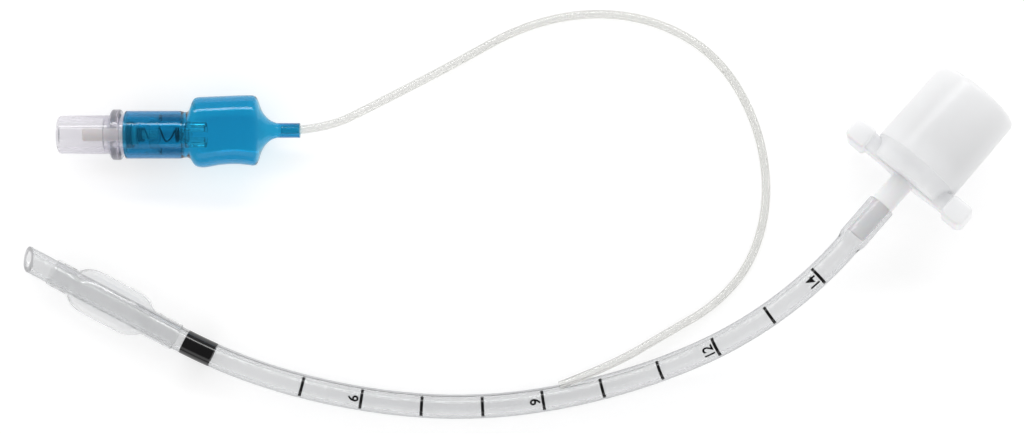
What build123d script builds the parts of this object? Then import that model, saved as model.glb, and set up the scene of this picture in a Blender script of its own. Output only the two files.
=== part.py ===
from build123d import *

import os
from math import cos, pi, radians, sin, tan

# Cuffed endotracheal tube, lying on a table. Millimetres, +Z up, table at Z = 0.
# The tube lies in a shallow bow along X: bevelled tip at -X, breathing connector at +X.

# Tube
TUBE_D = 4.0
TUBE_BORE_D = 2.5
TIP_X = -79.4
TIP_Y = -2.42
TIP_HEADING = -27.8
TIP_STRAIGHT = 28.0
BEVEL_ANGLE = 57.0
BEVEL_TURN = 25.0
BEVEL_EDGE_R = 0.18
BEVEL_OVERHANG = 1.2
# Each bend: its length and its turn to the left, seen from above
CUFF_DESCENT_BENDS = ((20.0, 12.0), (20.0, 11.0))
TABLE_BEND = (19.0, 12.5)
CONNECTOR_RISE_BENDS = ((29.0, 17.0), (30.0, 24.5))
FLARE_BLEND = 1.2
FLARE_BEYOND_SPIGOT = 0.4
STRAIGHT_BEYOND_FLARE = 0.3

# Inflation channel in the tube's wall
LUMEN_D = 0.4
LUMEN_START = 15.0
LUMEN_END = 93.4
LUMEN_SIDE_ANGLE = 26.0
LUMEN_PORT_LENGTH = 1.6

# Printed marks
INK_THICKNESS = 0.04
BAND_START = 28.8
BAND_LENGTH = 5.1
TICK_FIRST = 5
TICK_COUNT = 10
TICK_PITCH = 10.0
TICK_ZERO = -0.8
TICK_WIDTH = 0.42
TICK_ARC = 105.0
TICK_WEDGE = 6.0

# Cuff
CUFF_D = 7.5
CUFF_WALL = 0.15
CUFF_BULGE_START = 8.6
CUFF_BULGE_END = 22.0
CUFF_SHOULDER = 3.0
CUFF_SLEEVE_START = 4.6
CUFF_SLEEVE_END = 27.5
CUFF_SLEEVE_WALL = 0.22

# Breathing connector: outside cone with a 1 in 40 taper, lugs and spigot
CONE_BASE_D = 15.5
CONE_TAPER = 1 / 40
CONE_LENGTH = 15.15
CONE_WALL = 1.35
CONE_FLOOR = 3.0
CONE_RIM_R = 1.0
CONE_BASE_R = 0.5
FUNNEL_DEPTH = 4.5
SPIGOT_D = 3.2
SPIGOT_LENGTH = 6.6
SPIGOT_BORE_D = 2.2
NECK_D = 3.9
NECK_LENGTH = 5.4
HUB_WIDTH = 13.4
HUB_HEIGHT = 12.4
HUB_THICKNESS = 3.1
HUB_FRONT_HEIGHT = 11.4
HUB_SLOPE = 0.6
ARM_THICKNESS = 3.15
ARM_SETBACK = 0.25
ARM_HEIGHT = 3.8
LUG_SPAN = 24.0
LUG_WIDTH = 3.4
LUG_THICKNESS = 3.5
LUG_HEIGHT = 5.8
LUG_CORNER_R = 1.2
LUG_ROLL = -14.5

# Pilot line
LINE_D = 1.4
LINE_BORE_D = 0.7
LINE_ARC_SHARE = 0.45
NOTCH_LENGTH = 9.0
LINE_POINTS = (
    (-37.92, 18.57, 4.15),
    (-31.02, 18.57, 4.15),
    (-21.92, 23.22, 2.3),
    (-10.12, 29.42, 0.9),
    (1.78, 36.12, 0.72),
    (13.78, 38.42, 0.72),
    (24.98, 36.42, 0.72),
    (34.28, 30.42, 0.72),
    (40.38, 19.92, 0.72),
    (42.28, 7.92, 0.72),
    (39.58, -2.88, 0.72),
    (33.48, -10.08, 0.8),
    (25.18, -14.78, 1.45),
    (16.38, -19.88, 2.75),
    (7.58, -23.23, 3.05),
)

# Check valve, along +X from the mouth of its syringe port
VALVE_MOUTH_X = -74.27
VALVE_Y = 17.87
PORT_MOUTH_D = 6.2
PORT_D = 6.4
PORT_LENGTH = 8.55
MOUTH_EDGE_R = 0.3
LUER_MOUTH_D = 4.27
LUER_TAPER = 0.06
LUER_DEPTH = 7.65
COLLAR_D = 8.3
COLLAR_START = 8.75
COLLAR_END = 10.35
COLLAR_CHAMFER = 0.35
RING_D = 6.5
CHAMBER_START = 11.35
CHAMBER_D = 5.2
BODY_D = 6.8
BODY_END = 16.75
STEM_HOLE_D = 2.9
STEM_D = 2.1
STEM_START = 4.15
STEM_TIP_CHAMFER = 0.2
SEAL_D = 4.3
SEAL_THICKNESS = 0.9
FLANGE_D = 3.4
FLANGE_THICKNESS = 0.65
GUIDE_D = 1.5
GUIDE_END = 16.55
SPRING_D = 2.4
WIRE_D = 0.25
SPRING_END = 20.25
CLOSED_COILS = 3
OPEN_COILS = 2
COIL_STEPS = 16
CAGE_SPIGOT = 1.6
CAGE_BORE_D = 3.0
CAGE_END = 20.35
CAGE_FLOOR = 0.7
CAGE_CHAMFER = 0.3
TAIL_D = 4.3
TAIL_WALL = 0.75
TAIL_END = 24.15
TAIL_SLOT = 0.9
TAIL_SLOT_DEPTH = 2.6
VENT_D = 1.1

# Pilot balloon, along +X from the valve's mouth
SLEEVE_START = 11.05
SLEEVE_WALL = 0.5
BALLOON_WALL = 0.35
NECK_SLEEVE_D = 2.4
NECK_SLEEVE_START = 36.15
NECK_SLEEVE_END = 39.45
NECK_SIDE_SHIFT = 0.7
# Ellipses between sleeve and neck: place along X, half width, half height, shift to +Y
BALLOON_SECTIONS = (
    (21.05, 3.65, 3.65, 0.1),
    (21.65, 4.5, 3.7, 0.3),
    (22.55, 5.4, 3.8, 0.5),
    (24.35, 5.8, 3.95, 0.55),
    (27.85, 5.85, 4.0, 0.55),
    (30.85, 5.75, 3.9, 0.55),
    (32.55, 5.1, 3.5, 0.6),
    (33.55, 3.5, 2.8, 0.7),
    (34.55, 2.0, 1.9, 0.8),
)

# Fits between pieces that are pushed or bonded together
FIT_GAP = 0.02

UP = Vector(0, 0, 1)
ALONG_X = Vector(1, 0, 0)
TUBE_R = TUBE_D / 2
TUBE_BORE_R = TUBE_BORE_D / 2
TUBE_WALL = TUBE_R - TUBE_BORE_R
SPIGOT_R = SPIGOT_D / 2
FLARE_R = SPIGOT_R + TUBE_WALL
FLARE_LENGTH = SPIGOT_LENGTH + FLARE_BEYOND_SPIGOT
END_STRAIGHT = FLARE_LENGTH + FLARE_BLEND + STRAIGHT_BEYOND_FLARE
CONE_SLOPE = CONE_TAPER / 2
CONE_BASE = NECK_LENGTH + HUB_THICKNESS
CONE_RIM = CONE_BASE + CONE_LENGTH
CONE_BASE_RADIUS = CONE_BASE_D / 2
CONE_RIM_RADIUS = CONE_BASE_RADIUS - CONE_SLOPE * CONE_LENGTH
VALVE_Z = COLLAR_D / 2


def arc_share(length, turn):
    """Rise of an arc for each unit of slope, summed over its two ends."""
    half = radians(turn) / 2
    return length * tan(half) / half / 2


def arc_end(start, heading, length, turn, rise):
    """Far end of an arc that starts at a heading in plan and climbs by rise."""
    half = radians(turn) / 2
    chord = length * sin(half) / half
    direction = radians(heading) + half
    return start + Vector(chord * cos(direction), chord * sin(direction), rise)


def two_arc_rises(bends, start_slope, end_slope, rise):
    """Rises of two arcs in a row that climb by rise in all, with the slopes given at both ends."""
    first, second = (arc_share(length, turn) for length, turn in bends)
    middle_slope = (rise - first * start_slope - second * end_slope) / (first + second)
    return first * (start_slope + middle_slope), second * (middle_slope + end_slope)


# Heights of the tube's axis where the cuff, the tube and the connector's cone rest on the table
CUFF_AXIS_Z = CUFF_D / 2
CONE_AXIS_Z = CONE_BASE_RADIUS + CONE_SLOPE * (END_STRAIGHT + CONE_BASE)

descent = two_arc_rises(CUFF_DESCENT_BENDS, 0, 0, TUBE_R - CUFF_AXIS_Z)
climb = two_arc_rises(CONNECTOR_RISE_BENDS, 0, -CONE_SLOPE, CONE_AXIS_Z - TUBE_R)
bends = (*CUFF_DESCENT_BENDS, TABLE_BEND, *CONNECTOR_RISE_BENDS)
rises = (*descent, 0.0, *climb)

tip_direction = Vector(cos(radians(TIP_HEADING)), sin(radians(TIP_HEADING)), 0)
tip = Vector(TIP_X, TIP_Y, CUFF_AXIS_Z)
heading = TIP_HEADING
bend_ends = [tip + tip_direction * TIP_STRAIGHT]
for (length, turn), rise in zip(bends, rises):
    bend_ends.append(arc_end(bend_ends[-1], heading, length, turn, rise))
    heading += turn

bevel_reach = BEVEL_OVERHANG * TUBE_R / tan(radians(BEVEL_ANGLE))
with BuildLine() as tube_path:
    run = Line(tip - tip_direction * bevel_reach, bend_ends[0])
    for start, end in zip(bend_ends, bend_ends[1:]):
        run = TangentArc(start, end, tangent=run % 1)
    Line(run @ 1, run @ 1 + (run % 1) * END_STRAIGHT)

tube_runs = tube_path.edges()
tube_end = tube_runs[-1] @ 1
end_direction = tube_runs[-1] % 1
across = end_direction.cross(UP).normalized()
end_axis = Axis(tube_end, end_direction)
end_section = Plane(tube_end, x_dir=across, z_dir=across.cross(end_direction))
lug_line = across.rotate(Axis((0, 0, 0), end_direction), LUG_ROLL)
hub_section = Plane(tube_end, x_dir=end_direction, z_dir=lug_line)
lug_section = Plane(tube_end, x_dir=lug_line, z_dir=lug_line.cross(end_direction))


def cross_plane(point, direction):
    """Plane across the tube, with X to the left in plan and Y up."""
    return Plane(point, x_dir=UP.cross(direction), z_dir=direction)


def tube_stretch(begin, finish):
    """Runs of the tube's path between two distances from the bevel's centre."""
    stretch = []
    near = -bevel_reach
    for run in tube_runs:
        far = near + run.length
        low = max(begin, near)
        high = min(finish, far)
        if high > low:
            stretch.append(run.trim((low - near) / run.length, (high - near) / run.length))
        near = far
    return stretch


# Tube: extruded wall with an inflation channel, bevelled tip and an end stretched over the spigot
socket_r = SPIGOT_R + FIT_GAP
bevel_side = UP * cos(radians(BEVEL_TURN)) - UP.cross(tip_direction) * sin(radians(BEVEL_TURN))
bevel_normal = bevel_side * cos(radians(BEVEL_ANGLE)) - tip_direction * sin(radians(BEVEL_ANGLE))
lumen_radius = TUBE_BORE_R + TUBE_WALL / 2
lumen_x = lumen_radius * cos(radians(LUMEN_SIDE_ANGLE))
lumen_y = lumen_radius * sin(radians(LUMEN_SIDE_ANGLE))
line_end = Vector(LINE_POINTS[-1])
line_end_direction = (Vector(LINE_POINTS[-2]) - line_end).normalized()

with BuildPart() as tube_shaft:
    for run in tube_runs:
        with BuildSketch(cross_plane(run @ 0, run % 0)):
            Circle(TUBE_R)
            Circle(TUBE_BORE_R, mode=Mode.SUBTRACT)
        sweep(path=run)
    with BuildSketch(end_section):
        with BuildLine():
            Polyline(
                (TUBE_R - TUBE_WALL / 2, -FLARE_LENGTH - FLARE_BLEND),
                (TUBE_R, -FLARE_LENGTH - FLARE_BLEND),
                (FLARE_R, -FLARE_LENGTH),
                (FLARE_R, 0),
                (TUBE_R - TUBE_WALL / 2, 0),
                close=True,
            )
        make_face()
    revolve(axis=end_axis)
    with BuildSketch(end_section):
        with BuildLine():
            Polyline(
                (0, -SPIGOT_LENGTH - FLARE_BLEND),
                (TUBE_BORE_R, -SPIGOT_LENGTH - FLARE_BLEND),
                (socket_r, -SPIGOT_LENGTH),
                (socket_r, 0),
                (0, 0),
                close=True,
            )
        make_face()
    revolve(axis=end_axis, mode=Mode.SUBTRACT)
    split(bisect_by=Plane(tip, z_dir=bevel_normal), keep=Keep.BOTTOM)
    rim = tube_shaft.faces().sort_by_distance(tip)[0]
    fillet(rim.edges(), radius=BEVEL_EDGE_R)
    for run in tube_stretch(LUMEN_START, LUMEN_END):
        with BuildSketch(cross_plane(run @ 0, run % 0)):
            with Locations((lumen_x, lumen_y)):
                Circle(LUMEN_D / 2)
        sweep(path=run, mode=Mode.SUBTRACT)
    with BuildSketch(cross_plane(tip + tip_direction * LUMEN_START, tip_direction)):
        with Locations((lumen_x, lumen_y)):
            Rectangle(TUBE_WALL, LUMEN_D, rotation=LUMEN_SIDE_ANGLE, align=(Align.MIN, Align.CENTER))
    extrude(amount=LUMEN_PORT_LENGTH, mode=Mode.SUBTRACT)
    with BuildSketch(Plane(line_end, z_dir=line_end_direction)):
        Circle(LINE_D / 2 + FIT_GAP)
    extrude(amount=NOTCH_LENGTH, mode=Mode.SUBTRACT)
tube_shaft.part.label = "tube_shaft"


# Cuff: thin inflated sleeve bonded to the tube at both ends
cuff_seat_r = TUBE_R + FIT_GAP
cuff_sleeve_r = TUBE_R + CUFF_SLEEVE_WALL
cuff_r = CUFF_D / 2
cuff_section = Plane(tip, x_dir=tip_direction, z_dir=tip_direction.cross(UP))


def bulge_outline(inset, foot):
    """Side of the cuff's bulge, drawn inside its outer face by inset and standing on radius foot."""
    side = cuff_r - inset
    begin = CUFF_BULGE_START + inset
    finish = CUFF_BULGE_END - inset
    shoulder = CUFF_SHOULDER - inset
    EllipticalCenterArc((begin + shoulder, foot), shoulder, side - foot, start_angle=90, arc_size=90)
    Line((begin + shoulder, side), (finish - shoulder, side))
    EllipticalCenterArc((finish - shoulder, foot), shoulder, side - foot, start_angle=0, arc_size=90)


with BuildPart() as cuff:
    with BuildSketch(cuff_section):
        with BuildLine():
            bulge_outline(0, cuff_sleeve_r)
            Polyline(
                (CUFF_BULGE_END, cuff_sleeve_r),
                (CUFF_SLEEVE_END, cuff_sleeve_r),
                (CUFF_SLEEVE_END, cuff_seat_r),
                (CUFF_SLEEVE_START, cuff_seat_r),
                (CUFF_SLEEVE_START, cuff_sleeve_r),
                (CUFF_BULGE_START, cuff_sleeve_r),
            )
        make_face()
        with BuildLine():
            bulge_outline(CUFF_WALL, cuff_seat_r)
            Line((CUFF_BULGE_END - CUFF_WALL, cuff_seat_r), (CUFF_BULGE_START + CUFF_WALL, cuff_seat_r))
        make_face(mode=Mode.SUBTRACT)
    revolve(axis=Axis(tip, tip_direction))
cuff.part.label = "cuff"

# Printed marks: the insertion band all round, and one tick on the upper side for each centimetre
tick_half_angle = radians(TICK_ARC) / 2
wedge_reach = TICK_WEDGE * TUBE_R
wedge = (
    (0, 0),
    (wedge_reach * sin(tick_half_angle), wedge_reach * cos(tick_half_angle)),
    (-wedge_reach * sin(tick_half_angle), wedge_reach * cos(tick_half_angle)),
)
with BuildPart() as printed_marks:
    for run in tube_stretch(BAND_START, BAND_START + BAND_LENGTH):
        with BuildSketch(cross_plane(run @ 0, run % 0)):
            Circle(TUBE_R + INK_THICKNESS)
            Circle(TUBE_R, mode=Mode.SUBTRACT)
        sweep(path=run)
    for number in range(TICK_FIRST, TICK_FIRST + TICK_COUNT):
        place = TICK_ZERO + TICK_PITCH * number
        run = tube_stretch(place - TICK_WIDTH / 2, place + TICK_WIDTH / 2)[0]
        with BuildSketch(cross_plane(run @ 0, run % 0)):
            Circle(TUBE_R + INK_THICKNESS)
            Circle(TUBE_R, mode=Mode.SUBTRACT)
            with BuildLine():
                Polyline(*wedge, close=True)
            make_face(mode=Mode.INTERSECT)
        sweep(path=run)
printed_marks.part.label = "printed_marks"

# Connector: turned outside with lugs, then one passage cut from the rim to the spigot
cone_bore_r = CONE_RIM_RADIUS - CONE_WALL
arm_length = LUG_SPAN - LUG_WIDTH
lug_centre = arm_length / 2
with BuildPart() as connector:
    with BuildSketch(end_section) as turned:
        with BuildLine():
            Polyline(
                (0, -SPIGOT_LENGTH),
                (SPIGOT_R, -SPIGOT_LENGTH),
                (SPIGOT_R, 0),
                (NECK_D / 2, 0),
                (NECK_D / 2, CONE_BASE),
                (CONE_BASE_RADIUS, CONE_BASE),
                (CONE_RIM_RADIUS, CONE_RIM),
                (0, CONE_RIM),
                close=True,
            )
        make_face()
        fillet(turned.vertices().group_by(Axis.Y)[-1].sort_by(Axis.X)[-1], CONE_RIM_R)
        fillet(turned.vertices().sort_by(Axis.X)[-1], CONE_BASE_R)
    revolve(axis=end_axis)
    with BuildSketch(hub_section):
        with BuildLine():
            Polyline(
                (NECK_LENGTH, -HUB_FRONT_HEIGHT / 2),
                (NECK_LENGTH + HUB_SLOPE, -HUB_HEIGHT / 2),
                (CONE_BASE, -HUB_HEIGHT / 2),
                (CONE_BASE, HUB_HEIGHT / 2),
                (NECK_LENGTH + HUB_SLOPE, HUB_HEIGHT / 2),
                (NECK_LENGTH, HUB_FRONT_HEIGHT / 2),
                close=True,
            )
        make_face()
    extrude(amount=HUB_WIDTH / 2, both=True)
    with BuildSketch(lug_section):
        with Locations((0, CONE_BASE - ARM_SETBACK - ARM_THICKNESS / 2)):
            Rectangle(arm_length, ARM_THICKNESS)
    extrude(amount=ARM_HEIGHT / 2, both=True)
    with BuildSketch(lug_section):
        with Locations(
            (lug_centre, CONE_BASE - LUG_THICKNESS / 2), (-lug_centre, CONE_BASE - LUG_THICKNESS / 2)
        ):
            RectangleRounded(LUG_WIDTH, LUG_THICKNESS, LUG_CORNER_R)
    extrude(amount=LUG_HEIGHT / 2, both=True)
    with BuildSketch(end_section):
        with BuildLine():
            Polyline(
                (0, -SPIGOT_LENGTH),
                (SPIGOT_BORE_D / 2, -SPIGOT_LENGTH),
                (SPIGOT_BORE_D / 2, CONE_BASE + CONE_FLOOR - FUNNEL_DEPTH),
                (cone_bore_r, CONE_BASE + CONE_FLOOR),
                (cone_bore_r, CONE_RIM),
                (0, CONE_RIM),
                close=True,
            )
        make_face()
    revolve(axis=end_axis, mode=Mode.SUBTRACT)
connector.part.label = "connector"


def valve_plane(place):
    """Plane across the valve's axis at a distance from the mouth."""
    return Plane(valve_mouth + ALONG_X * place, x_dir=Vector(0, 1, 0), z_dir=ALONG_X)


valve_mouth = Vector(VALVE_MOUTH_X, VALVE_Y, VALVE_Z)
valve_axis = Axis(valve_mouth, ALONG_X)
valve_section = Plane(valve_mouth, x_dir=ALONG_X, z_dir=Vector(0, -1, 0))
chamber_r = CHAMBER_D / 2
body_r = BODY_D / 2
stem_r = STEM_D / 2
luer_mouth_r = LUER_MOUTH_D / 2
collar_r = COLLAR_D / 2
port_r = PORT_D / 2
ring_r = RING_D / 2

# Syringe port: turned front half of the valve's housing, with a 6 % tapered socket
with BuildPart() as luer_port:
    with BuildSketch(valve_section):
        with BuildLine():
            Polyline(
                (0, 0),
                (0, PORT_MOUTH_D / 2),
                (PORT_LENGTH, port_r),
                (COLLAR_START, collar_r - COLLAR_CHAMFER),
                (COLLAR_START + COLLAR_CHAMFER, collar_r),
                (COLLAR_END - COLLAR_CHAMFER, collar_r),
                (COLLAR_END, collar_r - COLLAR_CHAMFER),
                (COLLAR_END, ring_r),
                (SLEEVE_START, ring_r),
                (SLEEVE_START, body_r),
                (BODY_END, body_r),
                (BODY_END, 0),
                close=True,
            )
        make_face()
    revolve(axis=valve_axis)
    with BuildSketch(valve_section):
        with BuildLine():
            Polyline(
                (0, 0),
                (0, luer_mouth_r),
                (LUER_DEPTH, luer_mouth_r - LUER_TAPER / 2 * LUER_DEPTH),
                (LUER_DEPTH, STEM_HOLE_D / 2),
                (CHAMBER_START, STEM_HOLE_D / 2),
                (CHAMBER_START, chamber_r),
                (BODY_END, chamber_r),
                (BODY_END, 0),
                close=True,
            )
        make_face()
    revolve(axis=valve_axis, mode=Mode.SUBTRACT)
    mouth_edges = luer_port.edges().filter_by(GeomType.CIRCLE).group_by(Axis.X)[0]
    fillet(mouth_edges.sort_by(SortBy.RADIUS)[-1], MOUTH_EDGE_R)
luer_port.part.label = "luer_port"

# Plunger: stem reached by the syringe's nose, flange behind the seal, guide inside the spring
seal_end = CHAMBER_START + SEAL_THICKNESS
flange_end = seal_end + FLANGE_THICKNESS
with BuildPart() as valve_plunger:
    with BuildSketch(valve_section):
        with BuildLine():
            Polyline(
                (STEM_START, 0),
                (STEM_START, stem_r - STEM_TIP_CHAMFER),
                (STEM_START + STEM_TIP_CHAMFER, stem_r),
                (seal_end, stem_r),
                (seal_end, FLANGE_D / 2),
                (flange_end, FLANGE_D / 2),
                (flange_end, GUIDE_D / 2),
                (GUIDE_END, GUIDE_D / 2),
                (GUIDE_END, 0),
                close=True,
            )
        make_face()
    revolve(axis=valve_axis)
valve_plunger.part.label = "valve_plunger"

with BuildPart() as valve_seal:
    with BuildSketch(valve_plane(CHAMBER_START)):
        Circle(SEAL_D / 2)
        Circle(stem_r + FIT_GAP, mode=Mode.SUBTRACT)
    extrude(amount=SEAL_THICKNESS)
valve_seal.part.label = "valve_seal"

# Spring: closed coils against the flange and the cage's floor, open coils between them
coil_r = (SPRING_D - WIRE_D) / 2
spring_start = flange_end + FIT_GAP + WIRE_D / 2
spring_finish = SPRING_END - FIT_GAP - WIRE_D / 2
closed_pitch = WIRE_D + FIT_GAP
open_pitch = (spring_finish - spring_start - 2 * CLOSED_COILS * closed_pitch) / OPEN_COILS
coil_points = []
for step in range(COIL_STEPS * (2 * CLOSED_COILS + OPEN_COILS) + 1):
    turn = step / COIL_STEPS
    opened = min(max(turn - CLOSED_COILS, 0), OPEN_COILS)
    place = spring_start + (turn - opened) * closed_pitch + opened * open_pitch
    coil_points.append(valve_mouth + Vector(place, coil_r * cos(2 * pi * turn), coil_r * sin(2 * pi * turn)))
with BuildPart() as valve_spring:
    with BuildLine() as wire:
        Spline(*coil_points)
    with BuildSketch(Plane(wire.line @ 0, z_dir=wire.line % 0)):
        Circle(WIRE_D / 2)
    sweep(is_frenet=True)
valve_spring.part.label = "valve_spring"

# Cage: rear half of the housing, which holds the spring and opens into the balloon
with BuildPart() as valve_cage:
    with BuildSketch(valve_section):
        with BuildLine():
            Polyline(
                (BODY_END - CAGE_SPIGOT, 0),
                (BODY_END - CAGE_SPIGOT, chamber_r - FIT_GAP),
                (BODY_END, chamber_r - FIT_GAP),
                (BODY_END, body_r),
                (CAGE_END - CAGE_CHAMFER, body_r),
                (CAGE_END, body_r - CAGE_CHAMFER),
                (CAGE_END, TAIL_D / 2),
                (TAIL_END, TAIL_D / 2),
                (TAIL_END, 0),
                close=True,
            )
        make_face()
    revolve(axis=valve_axis)
    with BuildSketch(valve_section):
        with BuildLine():
            Polyline(
                (BODY_END - CAGE_SPIGOT, 0),
                (BODY_END - CAGE_SPIGOT, CAGE_BORE_D / 2),
                (SPRING_END, CAGE_BORE_D / 2),
                (SPRING_END, VENT_D / 2),
                (SPRING_END + CAGE_FLOOR, VENT_D / 2),
                (SPRING_END + CAGE_FLOOR, TAIL_D / 2 - TAIL_WALL),
                (TAIL_END, TAIL_D / 2 - TAIL_WALL),
                (TAIL_END, 0),
                close=True,
            )
        make_face()
    revolve(axis=valve_axis, mode=Mode.SUBTRACT)
    with BuildSketch(valve_plane(TAIL_END)):
        Rectangle(TAIL_SLOT, TAIL_D * 2)
        Rectangle(TAIL_D * 2, TAIL_SLOT)
    extrude(amount=-TAIL_SLOT_DEPTH, mode=Mode.SUBTRACT)
valve_cage.part.label = "valve_cage"

# Pilot balloon: sleeve over the housing, blown bag and neck over the line, all one skin
sleeve_bore_r = body_r + FIT_GAP
line_r = LINE_D / 2
neck_bore_r = line_r + FIT_GAP


def balloon_form(inset, sleeve_radius, neck_radius):
    """Solid of the sleeve, bag and neck, drawn inside the balloon's outer face by inset."""
    with BuildPart() as form:
        with BuildSketch(valve_plane(SLEEVE_START)):
            Circle(sleeve_radius)
        extrude(amount=CAGE_END - SLEEVE_START)
        with BuildSketch(valve_plane(CAGE_END)):
            Circle(sleeve_radius)
        for place, half_width, half_height, shift in BALLOON_SECTIONS:
            with BuildSketch(valve_plane(place)):
                with Locations((shift, 0)):
                    Ellipse(half_width - inset, half_height - inset)
        with BuildSketch(valve_plane(NECK_SLEEVE_START)):
            with Locations((NECK_SIDE_SHIFT, 0)):
                Circle(neck_radius)
        loft()
        with BuildSketch(valve_plane(NECK_SLEEVE_START)):
            with Locations((NECK_SIDE_SHIFT, 0)):
                Circle(neck_radius)
        extrude(amount=NECK_SLEEVE_END - NECK_SLEEVE_START)
    return form.part


balloon_outside = balloon_form(0, body_r + SLEEVE_WALL, NECK_SLEEVE_D / 2)
balloon_inside = balloon_form(BALLOON_WALL, sleeve_bore_r, neck_bore_r)
with BuildPart() as pilot_balloon:
    add(balloon_outside)
    add(balloon_inside, mode=Mode.SUBTRACT)
pilot_balloon.part.label = "pilot_balloon"

# Pilot line: straight runs joined by arcs as large as each pair of runs allows
points = [Vector(point) for point in LINE_POINTS]
radii = []
for before, corner, after in zip(points, points[1:], points[2:]):
    coming = corner - before
    going = after - corner
    half_turn = radians(coming.get_angle(going)) / 2
    radii.append(LINE_ARC_SHARE * min(coming.length, going.length) / tan(half_turn))
print("line radii", [round(radius, 1) for radius in radii])

with BuildPart() as inflation_line:
    with BuildLine() as line_path:
        FilletPolyline(*points, radius=radii)
    with BuildSketch(Plane(points[0], z_dir=points[1] - points[0])):
        Circle(line_r)
        Circle(LINE_BORE_D / 2, mode=Mode.SUBTRACT)
    sweep()
inflation_line.part.label = "inflation_line"
line_length = line_path.wire().length
line_section = pi * (LINE_D**2 - LINE_BORE_D**2) / 4
print("line length", round(line_length, 1))
print("line volume", round(inflation_line.part.volume, 2), round(line_section * line_length, 2))

os.makedirs("parts", exist_ok=True)
pieces = (
    tube_shaft,
    cuff,
    printed_marks,
    connector,
    inflation_line,
    pilot_balloon,
    luer_port,
    valve_cage,
    valve_plunger,
    valve_seal,
    valve_spring,
)
for piece in pieces:
    export_step(piece.part, f"parts/{piece.part.label}.step")
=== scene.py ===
from math import atan2, ceil, cos, pi, radians, sin, sqrt, tan

import bmesh
import bpy
from mathutils import Matrix, Vector, noise


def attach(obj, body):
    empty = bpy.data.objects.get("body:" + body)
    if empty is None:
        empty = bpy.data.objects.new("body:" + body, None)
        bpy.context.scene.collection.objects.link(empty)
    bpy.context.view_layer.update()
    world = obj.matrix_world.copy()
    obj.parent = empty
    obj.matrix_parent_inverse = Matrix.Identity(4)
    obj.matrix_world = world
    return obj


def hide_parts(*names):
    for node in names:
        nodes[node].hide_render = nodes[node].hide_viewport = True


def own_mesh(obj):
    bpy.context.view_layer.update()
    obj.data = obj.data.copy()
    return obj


# Cuffed endotracheal tube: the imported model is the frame, and this script gives it its looks.
# Lengths below are millimetres in the model's frame; meshes are written in metres.
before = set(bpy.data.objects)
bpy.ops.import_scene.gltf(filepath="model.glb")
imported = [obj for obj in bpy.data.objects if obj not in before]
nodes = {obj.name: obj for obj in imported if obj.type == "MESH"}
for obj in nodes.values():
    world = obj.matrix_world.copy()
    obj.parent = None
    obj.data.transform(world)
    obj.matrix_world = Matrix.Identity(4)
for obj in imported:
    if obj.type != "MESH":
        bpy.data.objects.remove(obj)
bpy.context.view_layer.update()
scene = bpy.context.scene

MM = 0.001
UP = Vector((0, 0, 1))
ALONG_X = Vector((1, 0, 0))
SIDE_Y = Vector((0, 1, 0))

# Camera, straight above the object
CAMERA = (-0.19, 4.42, 370.0)
SENSOR_WIDTH = 36.0
LENS = 78.7

# Tube
TUBE_R = 2.0
TUBE_BORE_R = 1.25
TIP = Vector((-79.4, -2.42, 3.75))
TIP_HEADING = -27.8
TIP_STRAIGHT = 28.0
BEVEL_ANGLE = 57.0
BEVEL_TURN = 25.0
BEVEL_EDGE_R = 0.18
BEVEL_REACH = 1.6
BEVEL_RIM_ANGLE = 25.0
BEVEL_FACE_DEPTH = 0.25
TIP_REACH = 4.0
CUFF_DESCENT_BENDS = ((20.0, 12.0), (20.0, 11.0))
TABLE_BEND = (19.0, 12.5)
CONNECTOR_RISE_BENDS = ((29.0, 17.0), (30.0, 24.5))
END_STRAIGHT = 8.5
FLARE_LENGTH = 7.0
FLARE_R = 2.35
SOCKET_R = 1.62
SPIGOT_LENGTH = 6.6
FLARE_BLEND = 1.6
TUBE_END_DROP = 0.15
TUBE_END_ROUND = 0.2
LUMEN_R = 0.2
LUMEN_START = 15.0
LUMEN_END = 93.4
LUMEN_SIDE_ANGLE = 26.0
LUMEN_STEP = 0.9
TUBE_SIDES = 72
TUBE_STEP = 0.8
FLARE_STEP = 0.2

# Printed marks
INK_R = 2.03
BAND_START = 29.0
BAND_LENGTH = 5.1
BAND_ARC = 359.9
TICKS = range(5, 15)
TICK_PITCH = 10.0
TICK_ZERO = -0.5
TICK_WIDTH = 0.5
TICK_ARC = 105.0
NUMBERED_TICKS = (6, 9, 12, 14)
NUMBER_HEIGHT = 1.75
NUMBER_GAP = 0.5
NUMBER_SQUEEZE = 0.9
NUMBER_BOLDNESS = 0.05
NUMBER_SLICE = 0.15
DIGIT_SHARE = 0.72

# Cuff
CUFF_R = 3.75
CUFF_WALL = 0.15
CUFF_BULGE = (8.8, 21.7)
CUFF_SHOULDER = 3.6
CUFF_FOOT = 0.7
CUFF_FOOT_RISE = 0.9
CUFF_SLEEVE = (4.6, 27.5)
CUFF_SLEEVE_R = 2.22
CUFF_SEAT_R = 2.02
CUFF_SLEEVE_EDGE = 0.08
CUFF_SIDES = 96
SHOULDER_STEPS = 30
# Place along the tube, outer and inner reach, and share of full height of each swell of glue
GLUE_SPOTS = ((5.4, 0.9, 0.1, 1.0), (7.6, 1.2, 0.2, 0.5), (23.8, 1.5, 0.2, 0.8), (26.2, 0.8, 0.1, 1.0))
GLUE_HEIGHT = 0.06

# Breathing connector
CONE_BASE_R = 7.75
CONE_SLOPE = 1 / 80
CONE_LENGTH = 15.15
CONE_WALL = 1.35
CONE_FLOOR = 3.0
FUNNEL_DEPTH = 4.5
SPIGOT_R = 1.6
SPIGOT_BORE_R = 1.1
NECK_R = 1.95
NECK_LENGTH = 5.4
HUB_THICKNESS = 3.1
CUP_FOOT = 1.2
CUP_FOOT_R = 5.2
CONE_EDGE = 0.4
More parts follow.
